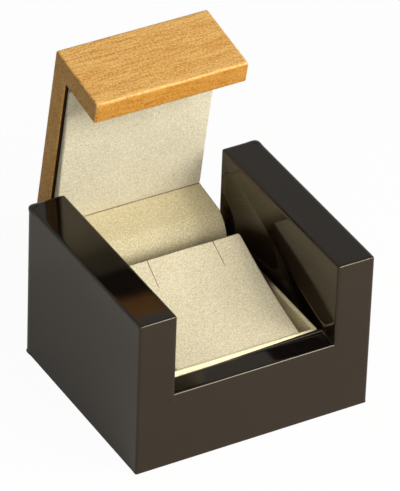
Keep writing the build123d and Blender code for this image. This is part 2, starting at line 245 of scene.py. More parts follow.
cheek_low, cheek_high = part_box("right_cheek")
ledge_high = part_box("front_rail")[1]
outer_x, inner_x = cheek_high.x, cheek_low.x
outer_y, inner_y = cheek_high.y, -ledge_high.y
foot_z, ledge_z, top_z = cheek_low.z, ledge_high.z, cheek_high.z
shell_faces = []
for side in (-1, 1):
    x_out, x_in = side * outer_x, side * inner_x
    y_out, y_in = side * outer_y, side * inner_y
    cheek_outside = [(x_out, -outer_y, foot_z), (x_out, outer_y, foot_z),
                     (x_out, outer_y, top_z), (x_out, -outer_y, top_z)]
    cheek_top = [(x_out, -outer_y, top_z), (x_out, outer_y, top_z),
                 (x_in, outer_y, top_z), (x_in, -outer_y, top_z)]
    cheek_inside = [(x_in, -outer_y, top_z), (x_in, outer_y, top_z),
                    (x_in, outer_y, ledge_z), (x_in, inner_y, ledge_z),
                    (x_in, inner_y, foot_z), (x_in, -inner_y, foot_z),
                    (x_in, -inner_y, ledge_z), (x_in, -outer_y, ledge_z)]
    front_or_back = [(-outer_x, y_out, foot_z), (outer_x, y_out, foot_z),
                     (outer_x, y_out, top_z), (inner_x, y_out, top_z),
                     (inner_x, y_out, ledge_z), (-inner_x, y_out, ledge_z),
                     (-inner_x, y_out, top_z), (-outer_x, y_out, top_z)]
    rail_top = [(-inner_x, y_out, ledge_z), (inner_x, y_out, ledge_z),
                (inner_x, y_in, ledge_z), (-inner_x, y_in, ledge_z)]
    rail_inside = [(-inner_x, y_in, foot_z), (inner_x, y_in, foot_z),
                   (inner_x, y_in, ledge_z), (-inner_x, y_in, ledge_z)]
    cheek_foot = [(x_out, -outer_y, foot_z), (x_out, outer_y, foot_z),
                  (x_in, inner_y, foot_z), (x_in, -inner_y, foot_z)]
    rail_foot = [(-outer_x, y_out, foot_z), (outer_x, y_out, foot_z),
                 (inner_x, y_in, foot_z), (-inner_x, y_in, foot_z)]
    shell_faces += [cheek_outside, cheek_top, cheek_inside, front_or_back,
                    rail_top, rail_inside, cheek_foot, rail_foot]

widest_edge = 5.2 * MM
shown_edge = 0.42
inside_corner_edge = 0.24
tray_side_edge = 0.12
foot_edge = 0.15


def edge_softness(start, end):
    """How wide an edge of the shell is rounded, as a share of the widest, by where it runs."""
    x, y, z = (start + end) / 2
    upright = abs(start.z - end.z) > MM
    if upright and abs(y) < outer_y - MM:
        return 0
    if upright:
        return 1 if abs(x) > inner_x + MM and y > 0 else shown_edge
    if z < foot_z + MM:
        on_outside = max(abs(x) - outer_x, abs(y) - outer_y) > -MM
        return foot_edge if on_outside else 0
    if z < ledge_z + MM:
        if abs(abs(x) - inner_x) < MM:
            return inside_corner_edge
        return tray_side_edge if abs(y) < outer_y - MM else shown_edge
    return shown_edge


shell = bmesh.new()
shell_corners = {}
for face in shell_faces:
    for point in face:
        if point not in shell_corners:
            shell_corners[point] = shell.verts.new(point)
    shell.faces.new([shell_corners[point] for point in face])
bmesh.ops.recalc_face_normals(shell, faces=shell.faces)
softness = shell.edges.layers.float.new("bevel_weight_edge")
for edge in shell.edges:
    edge[softness] = edge_softness(edge.verts[0].co, edge.verts[1].co)
shell_mesh = bpy.data.meshes.new("lacquered_shell")
shell.to_mesh(shell_mesh)
shell.free()
shell_mesh.materials.append(lacquer)
shell_mesh.shade_smooth()
lacquered_shell = add_object("lacquered_shell", shell_mesh)
rounding = lacquered_shell.modifiers.new("soft_edges", "BEVEL")
rounding.width = widest_edge
rounding.segments = 12
rounding.profile = 0.86
rounding.limit_method = "WEIGHT"
flat_faces = lacquered_shell.modifiers.new("flat_faces", "WEIGHTED_NORMAL")
flat_faces.weight = 100
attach(lacquered_shell, "base")
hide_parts("left_cheek", "right_cheek", "front_rail", "rear_rail")


# Card tray
# A card box wrapped in cream leatherette, with a soft rounded rim that stands just above the ledge. Its
# back part, behind the pad, is darkened with painted shade. Leatherette is an embossed vinyl on cloth: matt,
# finely pebbled and a little mottled, with its specks drawn as coarse as they need to be to show.
def rounded_rectangle(half_width, half_depth, radius, corner_steps, side_steps, centre=(0, 0)):
    """Points round a rounded rectangle, anticlockwise, with each side in even steps."""
    points = []
    corners = ((1, -1), (1, 1), (-1, 1), (-1, -1))

    def arc_point(corner, degrees):
        x_side, y_side = corner
        angle = math.radians(degrees)
        middle = Vector((x_side * (half_width - radius), y_side * (half_depth - radius)))
        return middle + radius * Vector((math.cos(angle), math.sin(angle)))

    for index, corner in enumerate(corners):
        start = 90 * index - 90
        points.extend(arc_point(corner, start + 90 * step / corner_steps) for step in range(corner_steps + 1))
        here = points[-1]
        target = arc_point(corners[(index + 1) % len(corners)], start + 90)
        points.extend(here.lerp(target, step / side_steps) for step in range(1, side_steps))
    return [point + Vector(centre) for point in points]


def loft(rings):
    """Vertices and faces of a closed skin through rings of as many points each."""
    count = len(rings[0])
    last = (len(rings) - 1) * count
    vertices = [point for ring in rings for point in ring]
    faces = []
    for first in range(0, last, count):
        for step in range(count):
            a = first + step
            b = first + (step + 1) % count
            faces.append((a, b, b + count, a + count))
    faces.append(tuple(reversed(range(count))))
    faces.append(tuple(range(last, last + count)))
    return vertices, faces


def mesh_piece(name, vertices, faces, material):
    """Make one shown piece from its vertices and faces, with only its sharper edges left sharp."""
    smooth_up_to = math.radians(50)
    mesh = bpy.data.meshes.new(name)
    mesh.from_pydata(vertices, [], faces)
    mesh.materials.append(material)
    made = bmesh.new()
    made.from_mesh(mesh)
    bmesh.ops.recalc_face_normals(made, faces=made.faces)
    made.to_mesh(mesh)
    made.free()
    mesh.shade_smooth()
    mesh.set_sharp_from_angle(angle=smooth_up_to)
    return add_object(name, mesh)


def waver(point, size, height):
    """A small smooth shift of a soft surface, of that size across and that height."""
    return height * noise.noise(Vector(point) / size)


def set_stops(ramp, stops):
    """Give a colour ramp its stops, as pairs of place and linear colour."""
    elements = ramp.color_ramp.elements
    while len(elements) < len(stops):
        elements.new(0.5)
    for element, (place, colour) in zip(elements, stops):
        element.position = place
        element.color = colour


def leatherette_finish(name, light, dark, painted_shade_by=None):
    """Embossed leatherette, mottled from light to dark, with painted shade where the function
    painted_shade_by says.
    """
    leatherette = new_material(name)
    pebble_size = 0.5 * MM
    grain_size = 0.36 * MM
    crease_size = 1.6 * MM
    stain_size = 11 * MM
    relief_depth = 0.05 * MM
    stain_share = 0.2
    crease_share = 0.1
    crease_height = 0.3
    place = add_node(leatherette, "ShaderNodeTexCoord").outputs["Object"]
    pebbles = add_node(leatherette, "ShaderNodeTexVoronoi", {"feature": "SMOOTH_F1"}, {
        "Vector": place, "Scale": 1 / pebble_size, "Smoothness": 0.5})
    creases = add_node(leatherette, "ShaderNodeTexNoise", (), {
        "Vector": place, "Scale": 1 / crease_size, "Detail": 5.0, "Roughness": 0.65})
    grain = add_node(leatherette, "ShaderNodeTexNoise", (), {
        "Vector": place, "Scale": 1 / grain_size, "Detail": 0.0})
    stains = add_node(leatherette, "ShaderNodeTexNoise", (), {
        "Vector": place, "Scale": 1 / stain_size, "Detail": 3.0})
    mottle = add_node(leatherette, "ShaderNodeMath", {"operation": "MULTIPLY_ADD"}, {
        0: stains.outputs["Fac"], 1: stain_share, 2: grain.outputs["Fac"]})
    tone = add_node(leatherette, "ShaderNodeMath", {"operation": "MULTIPLY_ADD"}, {
        0: creases.outputs["Fac"], 1: crease_share, 2: mottle.outputs[0]})
    colour = add_node(leatherette, "ShaderNodeValToRGB", (), {"Fac": tone.outputs[0]})
    set_stops(colour, ((0.4, linear(light)), (0.9, linear(dark))))
    shown_colour = colour.outputs["Color"]
    if painted_shade_by:
        # Painted shade: the colour is multiplied towards a dark brown by the share that function gives.
        shade = add_node(leatherette, "ShaderNodeMix", {"data_type": "RGBA", "blend_type": "MULTIPLY"}, {
            0: painted_shade_by(leatherette, place), "A": shown_colour, "B": linear("#4d3b22")})
        shown_colour = shade.outputs["Result"]
    height = add_node(leatherette, "ShaderNodeMath", {"operation": "MULTIPLY_ADD"}, {
        0: creases.outputs["Fac"], 1: crease_height, 2: pebbles.outputs["Distance"]})
    relief = add_node(leatherette, "ShaderNodeBump", {"invert": True}, {
        "Height": height.outputs[0], "Strength": 0.45, "Distance": relief_depth})
    shader = add_node(leatherette, "ShaderNodeBsdfPrincipled", (), {
        "Base Color": shown_colour, "Roughness": 0.6, "Specular IOR Level": 0.3,
        "Sheen Weight": 0.1, "Sheen Roughness": 0.5, "Normal": relief.outputs[0]})
    return finish_material(leatherette, shader)


tray_low, tray_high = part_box("tray_cover")
# The tray's cover gets painted shade behind the pad, from the first of these places to the second.
painted_shade_starts = tray_high.y - 29 * MM
painted_shade_fully = tray_high.y - 22 * MM


def painted_shade_behind_pad(material, place):
    """How much painted shade darkens the tray's cover: its back part, where the pad hides it."""
    axes = add_node(material, "ShaderNodeSeparateXYZ", (), {"Vector": place})
    wall = add_node(material, "ShaderNodeMapRange", {"interpolation_type": "SMOOTHSTEP"}, {
        "Value": axes.outputs["Y"], "From Min": painted_shade_starts, "From Max": painted_shade_fully})
    return wall.outputs[0]


tray_leatherette = leatherette_finish("embossed_vinyl_leatherette_tray", "#fff3cb", "#ecdaa6", painted_shade_behind_pad)
tray_wall = 1.4 * MM
tray_floor = tray_low.z + 1.15 * MM
tray_corner = 1.2 * MM
tray_inner_corner = 0.35 * MM
rim_radius = tray_wall / 2
rim_steps = 8
plain_up_to = 10 * MM
bowed_from = 4 * MM
wavy_above = tray_floor + 5 * MM
tray_centre = ((tray_low.x + tray_high.x) / 2, (tray_low.y + tray_high.y) / 2)
tray_half = ((tray_high.x - tray_low.x) / 2, (tray_high.y - tray_low.y) / 2)


def tray_ring(inset, height):
    """One ring of the tray's skin, that far in from its outer faces, at that height."""
    radius = max(tray_inner_corner, tray_corner - inset)
    plan = rounded_rectangle(
        tray_half[0] - inset, tray_half[1] - inset, radius, corner_steps=4, side_steps=24, centre=tray_centre)
    ring = []
    for point in plan:
        wave = waver((point.x, point.y, 0), size=7 * MM, height=0.10 * MM) if height > wavy_above else 0
        ring.append(Vector((point.x, point.y, height + min(0, wave))))
    return ring


tray_rings = [tray_ring(0, tray_low.z), tray_ring(0, tray_low.z + plain_up_to)]
for step in range(rim_steps):
    angle = math.pi * step / rim_steps
    tray_rings.append(tray_ring(rim_radius * (1 - math.cos(angle)),
                                tray_high.z - rim_radius * (1 - math.sin(angle))))
tray_rings.append(tray_ring(tray_wall, tray_high.z - rim_radius))
tray_rings.append(tray_ring(tray_wall, tray_floor + bowed_from))
tray_rings.append(tray_ring(tray_wall, tray_floor))
tray_skin = mesh_piece("tray_lining", *loft(tray_rings), tray_leatherette)
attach(tray_skin, "base")
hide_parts("tray_cover")


# Ramp pad
# A foam wedge wrapped in cream leatherette, with wadding under its slope and two slits for earrings.
# Painted shade darkens it a little towards its front. Its side view is run from side to side, drawn in at
# the folded edges and notched at the slits.
pad_low, pad_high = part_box("pad_cover")
pad_front_top = tray_high.z - 1.0 * MM
pad_back_top = pad_high.z
pad_nose = 2.2 * MM
pad_foot_depth = 20 * MM
undercut = math.tan(math.radians(43))
pad_heel = pad_low.y + pad_foot_depth
pad_nose_foot = pad_back_top - pad_nose
pad_heel_top = pad_nose_foot - (pad_high.y - pad_heel) * undercut
pad_slope = (pad_back_top - pad_front_top) / (pad_high.y - pad_low.y)
pad_middle = Vector((pad_low.y + 9 * MM, 20 * MM))
back_edge_rise = 0.45 * MM
outline_spacing = 0.7 * MM


def rounded_outline(corners):
    """A closed outline with each corner turned into an arc; a corner is y, z and its radius."""
    steps = 6
    outline = []
    count = len(corners)
    for index, (y, z, radius) in enumerate(corners):
        here = Vector((y, z))
        before = (Vector(corners[index - 1][:2]) - here).normalized()
        after = (Vector(corners[(index + 1) % count][:2]) - here).normalized()
        half = before.angle(after) / 2
        reach = radius / math.tan(half)
        centre = here + (before + after).normalized() * (radius / math.sin(half))
        start = here + before * reach - centre
        end = here + after * reach - centre
        for step in range(steps + 1):
            share = step / steps
            outline.append(centre + (start * (1 - share) + end * share).normalized() * radius)
    return outline


def divided(outline, spacing):
    """The outline with extra points, so that no step is much longer than the spacing."""
    points = []
    for index, here in enumerate(outline):
        after = outline[(index + 1) % len(outline)]
        steps = max(1, round((after - here).length / spacing))
        points.extend(here.lerp(after, step / steps) for step in range(steps))
    return points


pad_corners = (
    (pad_low.y, pad_low.z, 0.3 * MM),
    (pad_low.y, pad_front_top, 0.6 * MM),
    (pad_high.y, pad_back_top + back_edge_rise, 0.35 * MM),
    (pad_high.y, pad_nose_foot, 0.6 * MM),
    (pad_heel, pad_heel_top, 1.0 * MM),
    (pad_heel, pad_low.z, 0.3 * MM),
)
pad_outline = divided(rounded_outline(pad_corners), outline_spacing)


def slope_height(y):
    """The height of the pad's slope, drawn straight from its front to its back edge."""
    return pad_front_top + pad_slope * (y - pad_low.y)


def undercut_height(y):
    """The height of the pad's undercut back face."""
    return pad_nose_foot - (pad_high.y - y) * undercut


# A slit has its place across the pad, its length from the back edge, and its sideways lean per length.
slits = ((-9.9 * MM, 8.6 * MM, 0.13), (10.9 * MM, 8.2 * MM, 0.06))
slit_half_width = 0.03 * MM
slit_depth = 3.2 * MM
slit_floor_end = pad_high.y - (slit_depth - pad_nose) / (undercut - pad_slope)
lean_reach = 3 * MM
pad_swell = 0.35 * MM
side_waist = 0.55 * MM
slump = 0.3 * MM
on_slope_within = 0.05 * MM
on_undercut_within = 0.3 * MM


def slit_lean(x, y):
    """How far a hand-cut slit, and the cover beside it, strays sideways on its way from the back edge."""
    shift = 0
    for place, _, lean in slits:
        nearness = max(0, 1 - abs(x - place) / lean_reach)
        shift -= lean * (pad_high.y - y) * nearness
    return shift


def pad_ring(x, inset, slit):
    """One side view of the pad: drawn in by an inset near its sides, and notched at a slit."""
    fullness = 1 - (x / pad_high.x) ** 4
    ring = []
    for y, z in pad_outline:
        on_slope = z > slope_height(y) - on_slope_within
        away = Vector((y, z)) - pad_middle
        y -= inset * away.x / away.length
        z -= inset * away.y / away.length
        along = min(1, max(0, (y - pad_low.y) / (pad_high.y - pad_low.y)))
        halfway = math.sin(math.pi * along)
        if on_slope:
            z -= slump * fullness * halfway
            z += waver((x, y, 0), size=9 * MM, height=0.12 * MM) * fullness
        above_undercut = z > undercut_height(y) - on_undercut_within
        stray = slit_lean(x, y) if above_undercut else 0
        stray -= side_waist * halfway * (x / pad_high.x) ** 5
        if slit and above_undercut and y > pad_high.y - slit[1]:
            y = min(y, slit_floor_end)
            z = max(slope_height(y) - slit_depth, undercut_height(y))
        ring.append(Vector((x + stray, y, z)))
    return ring


edge_roll = 0.7 * MM
roll_steps = 6
even_gap = 1.2 * MM
beside_slit = (0.11 * MM, 0.45 * MM, 0.9 * MM)
clear_of_slit = beside_slit[-1] + 0.2 * MM
pad_columns = []
for step in range(roll_steps + 1):
    angle = math.radians(90 * step / roll_steps)
    x = pad_high.x + pad_swell - edge_roll * (1 - math.cos(angle))
    inset = edge_roll * (1 - math.sin(angle))
    pad_columns += [(-x, inset, None), (x, inset, None)]
for slit in slits:
    pad_columns += [(slit[0] + offset, 0, slit) for offset in (-slit_half_width, 0, slit_half_width)]
    pad_columns += [(slit[0] + side * offset, 0, None) for offset in beside_slit for side in (-1, 1)]
even_count = int((pad_high.x - 2 * edge_roll) / even_gap)
for x in [step * even_gap for step in range(-even_count, even_count + 1)]:
    if min(abs(x - slit[0]) for slit in slits) > clear_of_slit:
        pad_columns.append((x, 0, None))
pad_columns.sort(key=lambda column: column[0])
pad_rings = [pad_ring(*column) for column in pad_columns]
# Painted shade darkens the pad's slope a little towards its front.
front_shade_share = 0.15
front_shade_fullest = pad_low.y - 2 * MM
front_shade_ends = pad_low.y + 26 * MM


def painted_shade_front_of_pad(material, place):
    """How much painted shade darkens the pad: a little, down its slope towards the ledge."""
    axes = add_node(material, "ShaderNodeSeparateXYZ", (), {"Vector": place})
    front_shade_ramp = add_node(material, "ShaderNodeMapRange", {"interpolation_type": "SMOOTHSTEP"}, {
        "Value": axes.outputs["Y"], "From Min": front_shade_fullest, "From Max": front_shade_ends,
        "To Min": front_shade_share, "To Max": 0.0})
    return front_shade_ramp.outputs[0]


pad_leatherette = leatherette_finish("embossed_vinyl_leatherette_pad", "#e8ddbf", "#c7ba94", painted_shade_front_of_pad)
pad_skin = mesh_piece("ramp_pad_skin", *loft(pad_rings), pad_leatherette)
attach(pad_skin, "pad")
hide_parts("pad_cover", "pad_wadding", "pad_foam")


# Lid linings
# Two card panels covered in leatherette are glued into the lid: a cream one over wadding, thicker towards
# the hinges, on its top board, and one on its front board that is dark brown as painted shade. They are
# drawn with the lid shut, then turned open about the hinge pins.
lid_joint = next(joint for joint in frame["joints"] if joint["name"] == "lid_hinge")
pivot = Vector(lid_joint["pos_m"])
shut_angle = math.radians(max(lid_joint["range_deg"]))
open_turn = Matrix.Translation(pivot) @ Matrix.Rotation(-shut_angle, 4, "X") @ Matrix.Translation(-pivot)
shut_turn = open_turn.inverted()


def shut_box(node):
    """Lowest and highest corner of a lid node with the lid shut."""
    points = [shut_turn @ vertex.co for vertex in nodes[node].data.vertices]
    return (Vector(min(point[axis] for point in points) for axis in range(3)),
            Vector(max(point[axis] for point in points) for axis in range(3)))


def covered_panel(name, cover, place, half_width, half_length, thickness, roll, foot_inset, crown, wedge):
    """A card covered in leatherette, with rolled edges and a crown; a wedge makes it thicker
    towards its -Y end, and its foot is drawn in under its face."""
    pull = 0.08 * MM
    corner = 0.7 * MM
    foot_shares = (1, 0.6, 0.25)
    edge_steps = 7
    inner_steps = 12
    rings = []

    def ring(inset, height):
        points = []
        for point in rounded_rectangle(
                half_width - inset, half_length - inset, corner, corner_steps=5, side_steps=30):
            x_share = point.x / half_width
            y_share = point.y / half_length
            shift = Vector((-x_share * pull * (1 - y_share ** 2), -y_share * pull * (1 - x_share ** 2)))
            wave = waver((point.x, point.y, thickness), size=8 * MM, height=0.10 * MM) * min(1, inset / roll)
            deeper = 1 + wedge / thickness * (1 - y_share) / 2
            points.append(Vector((point.x + shift.x, point.y + shift.y, height * deeper + wave)))
        return points

    for share in foot_shares:
        rings.append(ring(foot_inset * share, (thickness - roll) * (1 - share)))
    for step in range(edge_steps + 1):
        angle = math.radians(90 * step / edge_steps)
        rings.append(ring(roll * (1 - math.cos(angle)), thickness - roll + roll * math.sin(angle)))
    inner = min(half_width, half_length) - roll
    for step in range(1, inner_steps):
        share = step / inner_steps
        rings.append(ring(roll + share * (inner - corner), thickness + crown * math.sin(math.pi / 2 * share)))
    piece = mesh_piece(name, *loft(rings), cover)
    piece.data.transform(open_turn @ place)
    return piece


lining_leatherette = leatherette_finish("embossed_vinyl_leatherette_lining", "#dfd6bc", "#bfb493")
top_low, top_high = shut_box("lid_top_cover")
top_centre = (top_low + top_high) / 2
top_thickness = top_high.z - top_low.z - 0.05 * MM
top_wedge = 1.1 * MM
pressed_in = 0.15 * MM
overhang = 0.55 * MM
top_panel = covered_panel(
    "lid_top_lining", lining_leatherette,
    Matrix.Translation((0, top_centre.y + pressed_in / 2, top_high.z)) @ Matrix.Rotation(math.pi, 4, "X"),
    half_width=top_high.x + overhang, half_length=(top_high.y - top_low.y + pressed_in) / 2,
    thickness=top_thickness, roll=0.45 * MM, foot_inset=0.9 * MM, crown=0.1 * MM, wedge=top_wedge)
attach(top_panel, "lid")
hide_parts("lid_top_cover", "lid_top_wadding")

# Painted shade: the front board's lining is coloured dark brown for the shade under the lid's front board.
shade_dark_leatherette = leatherette_finish("embossed_vinyl_leatherette_painted_shade", "#2a1d14", "#18100b")
front_low, front_high = shut_box("lid_front_cover")
front_centre = (front_low + front_high) / 2
front_panel = covered_panel(
    "lid_front_lining", shade_dark_leatherette,
    Matrix.Translation((0, front_low.y, front_centre.z)) @ Matrix.Rotation(-math.pi / 2, 4, "X"),
    half_width=front_high.x, half_length=(front_high.z - front_low.z) / 2,
    thickness=front_high.y - front_low.y, roll=0.5 * MM, foot_inset=0.3 * MM, crown=0, wedge=0)
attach(front_panel, "lid")
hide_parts("lid_front_cover")


# Back lining
# One strip of leatherette, glued behind the tray and up the lid's rear board, hangs free over the hinges.
# Painted shade darkens it along its seam with the lining, and where it is tucked in behind the tray.
strip_low, strip_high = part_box("hinge_cover")
strip_half = strip_high.x
strip_thickness = 0.45 * MM
strip_columns = 40
pressed_flat = 0.02 * MM
strip_face = strip_low.y + pressed_flat
glued_up_to = 21.5 * MM
board_margin = 0.3 * MM
over_board_gap = 0.75 * MM
rail_pull = Vector((-2.6, 4.2)) * MM
board_pull = Vector((-3.6, -1.8)) * MM
rear_low, rear_high = shut_box("rear_lining")
crease = open_turn @ Vector((0, rear_low.y + pressed_flat, rear_high.z))
lid_foot = open_turn @ Vector((0, rear_low.y + pressed_flat, rear_low.z))
lid_direction = (crease - lid_foot).normalized()
board_end = open_turn @ Vector((0, rear_high.y, rear_low.z + board_margin))
off_board = Vector((-lid_direction.z, lid_direction.y))
over_board = Vector((board_end.y, board_end.z)) + over_board_gap * off_board
strip_tuck = Vector((strip_face, strip_low.z))
strip_rise = Vector((strip_face, glued_up_to))
strip_crease = Vector((crease.y, crease.z))
glued_steps, bend_points, board_steps = 8, 19, 14
bend = geometry.interpolate_bezier(
    strip_rise.to_3d(), (strip_rise + rail_pull).to_3d(),
    (over_board + board_pull).to_3d(), over_board.to_3d(), bend_points)
section = [strip_tuck.lerp(strip_rise, step / glued_steps) for step in range(glued_steps)]
section += [point.to_2d() for point in bend]
section += [over_board.lerp(strip_crease, step / board_steps) for step in range(1, board_steps + 1)]
front_side, back_side = [], []
for index, point in enumerate(section):
    before = section[max(0, index - 1)]
    after = section[min(len(section) - 1, index + 1)]
    along = (after - before).normalized()
    outward = Vector((-along.y, along.x))
    glued = index < glued_steps
    for column in range(strip_columns + 1):
        x = strip_half * (2 * column / strip_columns - 1)
        wave = 0 if glued else waver((x, point.x, point.y), size=9 * MM, height=0.16 * MM)
        shown = point + outward * wave
        hidden = point - outward * strip_thickness
        front_side.append(Vector((x, shown.x, shown.y)))
        back_side.append(Vector((x, hidden.x, hidden.y)))
points_across = strip_columns + 1
points_along = len(section)
back_start = points_across * points_along
strip_faces = []
for first in range(0, back_start - points_across, points_across):
    for a in range(first, first + strip_columns):
        b = a + points_across
        strip_faces.append((a, a + 1, b + 1, b))
        strip_faces.append((back_start + a, back_start + b, back_start + b + 1, back_start + a + 1))
    for a in (first, first + strip_columns):
        b = a + points_across
        strip_faces.append((a, b, back_start + b, back_start + a))
for column in range(strip_columns):
    for a in (column, back_start - points_across + column):
        strip_faces.append((a, a + 1, back_start + a + 1, back_start + a))
# Painted shade: the strip is darkened near its seam with the lining and low down where it tucks in.
seam_depth = top_thickness + top_wedge
seam_line = (seam_depth + 0.1 * MM, seam_depth + 0.4 * MM)
seam_shade = 0.62
tuck_heights = (22.5 * MM, 29 * MM)
tuck_shade = 0.85


def painted_seam_and_tuck_shade(material, place):
    """How much painted shade darkens the strip: along its seam with the lining, and where it is tucked in
    behind the tray.
    """
    across = add_node(material, "ShaderNodeVectorMath", {"operation": "MULTIPLY"}, {0: place, 1: (0, 1, 1)})
    from_seam = add_node(material, "ShaderNodeVectorMath", {"operation": "DISTANCE"}, {
        0: across.outputs[0], 1: (0, crease.y, crease.z)})
    seam = add_node(material, "ShaderNodeMapRange", (), {
        "Value": from_seam.outputs["Value"], "From Min": seam_line[0], "From Max": seam_line[1],
        "To Min": seam_shade, "To Max": 0.0})
    axes = add_node(material, "ShaderNodeSeparateXYZ", (), {"Vector": place})
    tuck = add_node(material, "ShaderNodeMapRange", {"interpolation_type": "SMOOTHSTEP"}, {
        "Value": axes.outputs["Z"], "From Min": tuck_heights[0], "From Max": tuck_heights[1],
        "To Min": tuck_shade, "To Max": 0.0})
    darker = add_node(material, "ShaderNodeMath", {"operation": "MAXIMUM"}, {
        0: seam.outputs[0], 1: tuck.outputs[0]})
    return darker.outputs[0]


back_leatherette = leatherette_finish("embossed_vinyl_leatherette_back", "#ddd0a9", "#bbac80", painted_seam_and_tuck_shade)
back_lining = mesh_piece("back_lining", front_side + back_side, strip_faces, back_leatherette)
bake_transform(back_lining)
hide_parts("hinge_cover", "rear_lining")


# Maple lid
# Three solid boards, mitred and glued into a U, sanded, stained honey and sprayed with clear lacquer.
# Maple shows straight fibres and short dark dashes, drawn coarser than real ones so that they show. Its
# cut ends are deeper, and the top board's inner face is painted dark brown as shade, a dark line round the
# lining.
def maple(name, plank_place, light, mid, dark, under_tone_and_shade):
    """Lacquered maple with its grain along X, cut from its own part of the plank."""
    wood = new_material(name)
    fibre_width = 0.45 * MM
    dash_width = 0.4 * MM
    speck_size = 0.6 * MM
    drift_width = 5 * MM
    relief_depth = 0.02 * MM
    fibre_stretch = (0.06, 1, 1)
    dash_stretch = (0.09, 1, 1)
    drift_share = 0.2
    fibre_share = 0.33
    speck_share = 0.47
    dash_share = 0.45
    dash_from = 0.54
    dash_fully = 0.78
    facing_from = 0.6
    facing_fully = 0.95
    place = add_node(wood, "ShaderNodeTexCoord")
    turned = add_node(wood, "ShaderNodeMapping", {"vector_type": "POINT"}, {
        "Vector": place.outputs["Object"], "Rotation": (shut_angle, 0, 0), "Location": plank_place})
    along_fibre = add_node(wood, "ShaderNodeMapping", {"vector_type": "POINT"}, {
        "Vector": turned.outputs[0], "Scale": fibre_stretch})
    along_dash = add_node(wood, "ShaderNodeMapping", {"vector_type": "POINT"}, {
        "Vector": turned.outputs[0], "Scale": dash_stretch})
    fibres = add_node(wood, "ShaderNodeTexNoise", (), {
        "Vector": along_fibre.outputs[0], "Scale": 1 / fibre_width, "Detail": 2.0, "Roughness": 0.6})
    drift = add_node(wood, "ShaderNodeTexNoise", (), {
        "Vector": along_fibre.outputs[0], "Scale": 1 / drift_width, "Detail": 2.0})
    specks = add_node(wood, "ShaderNodeTexNoise", (), {
        "Vector": turned.outputs[0], "Scale": 1 / speck_size, "Detail": 1.0})
    dashes = add_node(wood, "ShaderNodeTexNoise", (), {
        "Vector": along_dash.outputs[0], "Scale": 1 / dash_width, "Detail": 2.0, "Roughness": 0.55})
    dash_mask = add_node(wood, "ShaderNodeMapRange", {"interpolation_type": "SMOOTHSTEP"}, {
        "Value": dashes.outputs["Fac"], "From Min": dash_from, "From Max": dash_fully,
        "To Min": 0.0, "To Max": dash_share})
    drifting = add_node(wood, "ShaderNodeMath", {"operation": "MULTIPLY"}, {
        0: drift.outputs["Fac"], 1: drift_share})
    fibre_tone = add_node(wood, "ShaderNodeMath", {"operation": "MULTIPLY_ADD"}, {
        0: fibres.outputs["Fac"], 1: fibre_share, 2: drifting.outputs[0]})
    tone = add_node(wood, "ShaderNodeMath", {"operation": "MULTIPLY_ADD"}, {
        0: specks.outputs["Fac"], 1: speck_share, 2: fibre_tone.outputs[0]})
    colour = add_node(wood, "ShaderNodeValToRGB", (), {"Fac": tone.outputs[0]})
    set_stops(colour, ((0.38, linear(dark)), (0.5, linear(mid)), (0.62, linear(light))))
    dashed = add_node(wood, "ShaderNodeMix", {"data_type": "RGBA", "blend_type": "MULTIPLY"}, {
        0: dash_mask.outputs[0], "A": colour.outputs["Color"], "B": linear("#b98652")})
    # Faces that look down with the lid shut take the board's last tint: painted shade inside the top board, a
    # deeper stain on the lower edges of the others.
    shut_downward = open_turn.to_3x3() @ Vector((0, 0, -1))
    under_facing = add_node(wood, "ShaderNodeVectorMath", {"operation": "DOT_PRODUCT"}, {
        0: place.outputs["Normal"], 1: shut_downward})
    under_mask = add_node(wood, "ShaderNodeMapRange", {"interpolation_type": "SMOOTHSTEP"}, {
        "Value": under_facing.outputs["Value"], "From Min": facing_from, "From Max": facing_fully})
    under_shade = add_node(wood, "ShaderNodeMix", {"data_type": "RGBA", "blend_type": "MULTIPLY"}, {
        0: under_mask.outputs[0], "A": dashed.outputs["Result"], "B": linear(under_tone_and_shade)})
    side_facing = add_node(wood, "ShaderNodeVectorMath", {"operation": "ABSOLUTE"}, {
        0: place.outputs["Normal"]})
    side_axes = add_node(wood, "ShaderNodeSeparateXYZ", (), {"Vector": side_facing.outputs[0]})
    end_grain = add_node(wood, "ShaderNodeMapRange", {"interpolation_type": "SMOOTHSTEP"}, {
        "Value": side_axes.outputs["X"], "From Min": facing_from, "From Max": facing_fully})
    end_shade = add_node(wood, "ShaderNodeMix", {"data_type": "RGBA", "blend_type": "MULTIPLY"}, {
        0: end_grain.outputs[0], "A": under_shade.outputs["Result"], "B": linear("#d9d4bb")})
    relief = add_node(wood, "ShaderNodeBump", (), {
        "Height": tone.outputs[0], "Strength": 0.3, "Distance": relief_depth})
    shader = add_node(wood, "ShaderNodeBsdfPrincipled", (), {
        "Base Color": end_shade.outputs["Result"], "Roughness": 0.5, "Specular IOR Level": 0.25,
        "Specular Tint": linear("#ffdca8"), "Coat Weight": 0.12, "Coat Roughness": 0.14,
        "Normal": relief.outputs[0]})
    return finish_material(wood, shader)


def give_finish(node, finish):
    """Give its material to a CAD piece that is shown as it is."""
    nodes[node].data.materials.clear()
    nodes[node].data.materials.append(finish)


# A board has its part of the plank, its light, middle and dark tones, and the tint of its inner face or
# lower edge: painted shade on the top board's inner face, a deeper stain on the other boards' lower edges.
board_woods = {
    "lid_front_board": ((0.011, 0.023, 0.005), "#e9bd7a", "#dca85b", "#bf823c", "#d4c08f"),
    # The top board's inner face is tinted near black as painted shade.
    "lid_top_board": ((0.052, -0.041, 0.019), "#f1c47e", "#e6b05f", "#c68a40", "#26190f"),
    "lid_rear_board": ((-0.034, 0.012, 0.047), "#e6b976", "#d9a458", "#bb7f3a", "#e0c89b"),
}
for name, look in board_woods.items():
    give_finish(name, maple(f"lacquered_maple_{name}", *look))


